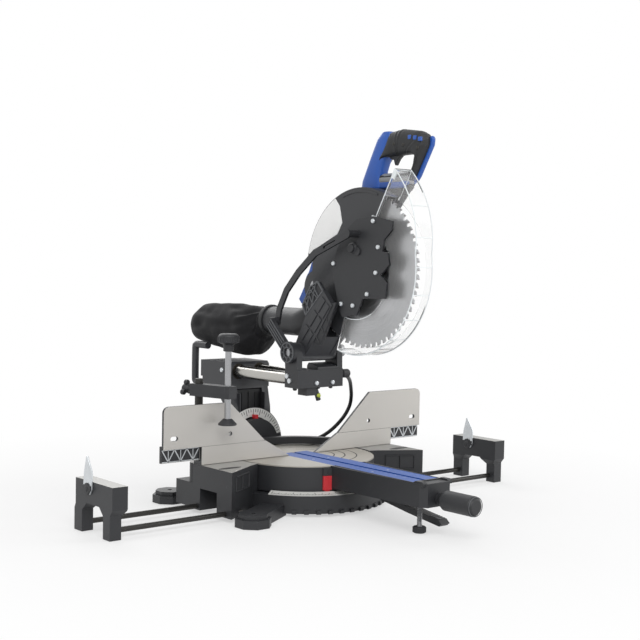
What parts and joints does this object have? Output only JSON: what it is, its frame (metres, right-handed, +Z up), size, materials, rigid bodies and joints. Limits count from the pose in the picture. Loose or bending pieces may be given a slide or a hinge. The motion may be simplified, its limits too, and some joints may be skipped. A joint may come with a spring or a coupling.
{
  "type": "sliding compound mitre saw",
  "caption": "Bench mitre saw: a sprung blade head slides on twin rails over a turntable with mitre and bevel scales, split fence, clamp, guards, dust bag and work supports.",
  "frame": {"origin": "on the bench, at the middle of the four bench bolt holes, under the turntable's axis", "axes": "+Z up along the bench bolts; -Y towards the operator; +X to the operator's right"},
  "size_m": [1.0153, 0.89, 0.745],
  "materials": {
    "cast_black": "satin black paint on cast alloy",
    "graphite_paint": "satin graphite paint on cast alloy",
    "guard_paint": "satin dark grey paint",
    "scale_white": "white printed scale",
    "alloy": "extruded and milled",
    "table_alloy": "turned face",
    "steel": "ground",
    "rail_steel": "hard chromed tube",
    "dark_steel": "blackened",
    "zinc": "zinc plated",
    "bush_metal": "sintered bush",
    "blade_steel": "ground saw plate",
    "blue_plastic": "fine grained",
    "black_plastic": "fine grained",
    "grey_plastic": "fine grained",
    "red_plastic": "moulded",
    "grip_rubber": "soft textured grip",
    "cord_rubber": "rubber sheath",
    "clear_plastic": "clear polycarbonate",
    "bag_cloth": "woven cloth"
  },
  "bodies": {
    "base": {"base": "cast_black", "mitre_scale": "scale_white", "fence": "alloy"},
    "turntable": {"turntable": "cast_black", "turntable_top": "table_alloy", "kerf_plates": "blue_plastic", "kerf_screws": "zinc", "pivot_pin": "steel", "pointers": "red_plastic", "bevel_shaft": "steel"},
    "lock_grip": {"lock_grip": "black_plastic"},
    "detent_lever": {"detent_lever": "black_plastic"},
    "levelling_stud": {"levelling_stud": "dark_steel"},
    "left_fence": {"left_sliding_fence": "alloy"},
    "right_fence": {"right_sliding_fence": "alloy"},
    "left_support": {"left_support": "cast_black", "left_support_rods": "dark_steel"},
    "left_flag": {"left_stop_flag": "zinc"},
    "right_support": {"right_support": "cast_black", "right_support_rods": "dark_steel"},
    "right_flag": {"right_stop_flag": "zinc"},
    "clamp": {"clamp_post": "dark_steel", "clamp_arm": "cast_black"},
    "clamp_wing": {"clamp_wing_knob": "black_plastic"},
    "clamp_spindle": {"clamp_screw": "steel", "clamp_knob": "black_plastic", "clamp_pad": "black_plastic"},
    "bevel_lever": {"bevel_lever": "black_plastic"},
    "arm": {"bevel_arm": "graphite_paint", "bevel_scale": "scale_white", "rail_bushes": "bush_metal", "head_cable": "cord_rubber"},
    "carriage": {"rails": "rail_steel", "rear_bracket": "graphite_paint", "carriage": "cast_black", "rail_screws": "zinc", "hinge_pin": "steel", "link_bracket": "cast_black", "laser_unit": "black_plastic", "cable_gland": "cord_rubber"},
    "lock_pin": {"lock_pin": "black_plastic"},
    "head": {"head_arm": "graphite_paint", "upper_guard": "guard_paint", "belt_case": "blue_plastic", "motor_case": "black_plastic", "motor_stator": "dark_steel", "drive_belt": "cord_rubber", "bearings": "steel", "handle_shell": "blue_plastic", "handle_grip": "grip_rubber", "dust_chute": "grey_plastic", "dust_bag": "bag_cloth"},
    "trigger": {"trigger": "black_plastic"},
    "blade": {"arbor": "steel", "blade": "blade_steel", "flanges": "dark_steel"},
    "armature": {"motor_armature": "dark_steel"},
    "lower_guard": {"lower_guard": "clear_plastic", "guard_carrier": "black_plastic"},
    "link": {"guard_link": "cast_black"}
  },
  "joints": [
    {"name": "mitre", "type": "hinge", "parent": "base", "child": "turntable", "pos_m": [0, 0, 0.043], "axis": [0, 0, -1], "range_deg": [-45, 45]},
    {"name": "grip_turn", "type": "hinge", "parent": "turntable", "child": "lock_grip", "pos_m": [0, -0.392, 0.066], "axis": [0, 1, 0], "range_deg": [-90, 90]},
    {"name": "detent_lift", "type": "hinge", "parent": "turntable", "child": "detent_lever", "pos_m": [0.019, -0.234, 0.046], "axis": [-1, 0, 0], "range_deg": [0, 5]},
    {"name": "stud_height", "type": "slide", "parent": "turntable", "child": "levelling_stud", "axis": [0, 0, 1], "range_m": [0, 0.025]},
    {"name": "left_fence_slide", "type": "slide", "parent": "base", "child": "left_fence", "axis": [-1, 0, 0], "range_m": [0, 0.06]},
    {"name": "right_fence_slide", "type": "slide", "parent": "base", "child": "right_fence", "axis": [1, 0, 0], "range_m": [0, 0.06]},
    {"name": "left_support_slide", "type": "slide", "parent": "base", "child": "left_support", "axis": [1, 0, 0], "range_m": [0, 0.16]},
    {"name": "right_support_slide", "type": "slide", "parent": "base", "child": "right_support", "axis": [-1, 0, 0], "range_m": [0, 0.16]},
    {"name": "left_flag_fold", "type": "hinge", "parent": "left_support", "child": "left_flag", "pos_m": [-0.506, -0.022, 0.081], "axis": [1, 0, 0], "range_deg": [0, 90]},
    {"name": "right_flag_fold", "type": "hinge", "parent": "right_support", "child": "right_flag", "pos_m": [0.475, -0.022, 0.081], "axis": [1, 0, 0], "range_deg": [0, 90]},
    {"name": "clamp_swivel", "type": "hinge", "parent": "base", "child": "clamp", "pos_m": [-0.231, 0.04, 0.06], "axis": [0, 0, -1], "range_deg": [-15, 40]},
    {"name": "clamp_wing_turn", "type": "hinge", "parent": "clamp", "child": "clamp_wing", "pos_m": [-0.2347, 0.0535, 0.237], "axis": [0.262, -0.9651, 0], "range_deg": [-90, 90]},
    {"name": "clamp_screw_down", "type": "slide", "parent": "clamp", "child": "clamp_spindle", "axis": [0, 0, -1], "range_m": [0, 0.065]},
    {"name": "bevel_lock", "type": "hinge", "parent": "turntable", "child": "bevel_lever", "pos_m": [0, 0.2, 0.095], "axis": [0, 1, 0], "range_deg": [-30, 30]},
    {"name": "bevel", "type": "hinge", "parent": "turntable", "child": "arm", "pos_m": [0, 0.17, 0.095], "axis": [0, -1, 0], "range_deg": [-42, 25]},
    {"name": "rail_slide", "type": "slide", "parent": "arm", "child": "carriage", "axis": [0, 1, 0], "range_m": [0, 0.198], "deforming": ["head_cable"]},
    {"name": "lock_pull", "type": "slide", "parent": "carriage", "child": "lock_pin", "axis": [1, 0, 0], "range_m": [0, 0.008]},
    {"name": "chop", "type": "hinge", "parent": "carriage", "child": "head", "pos_m": [0, -0.033, 0.309], "axis": [1, 0, 0], "range_deg": [0, 68], "stiffness_Nm_per_rad": 6, "springref_deg": -154.7},
    {"name": "trigger_squeeze", "type": "slide", "parent": "head", "child": "trigger", "axis": [0, 0, 1], "range_m": [0, 0.004], "stiffness_N_per_m": 1000, "springref_m": -0.003},
    {"name": "blade_spin", "type": "hinge", "parent": "head", "child": "blade", "pos_m": [0, -0.177, 0.478], "axis": [1, 0, 0], "continuous": true},
    {"name": "motor_spin", "type": "hinge", "parent": "head", "child": "armature", "pos_m": [0.04, -0.001, 0.439], "axis": [1, 0, 0], "continuous": true},
    {"name": "guard_swing", "type": "hinge", "parent": "head", "child": "lower_guard", "pos_m": [-0.02, -0.177, 0.478], "axis": [1, 0, 0], "range_deg": [-122.4, 0]},
    {"name": "link_swing", "type": "hinge", "parent": "carriage", "child": "link", "pos_m": [-0.05, 0.028, 0.366], "axis": [1, 0, 0], "range_deg": [0, 53.1]}
  ],
  "couplings": [
    {"joint": "guard_swing", "follows": "chop", "ratio": -1.8},
    {"joint": "link_swing", "follows": "chop", "ratio": 0.78},
    {"joint": "motor_spin", "follows": "blade_spin", "ratio": 2.4}
  ]
}
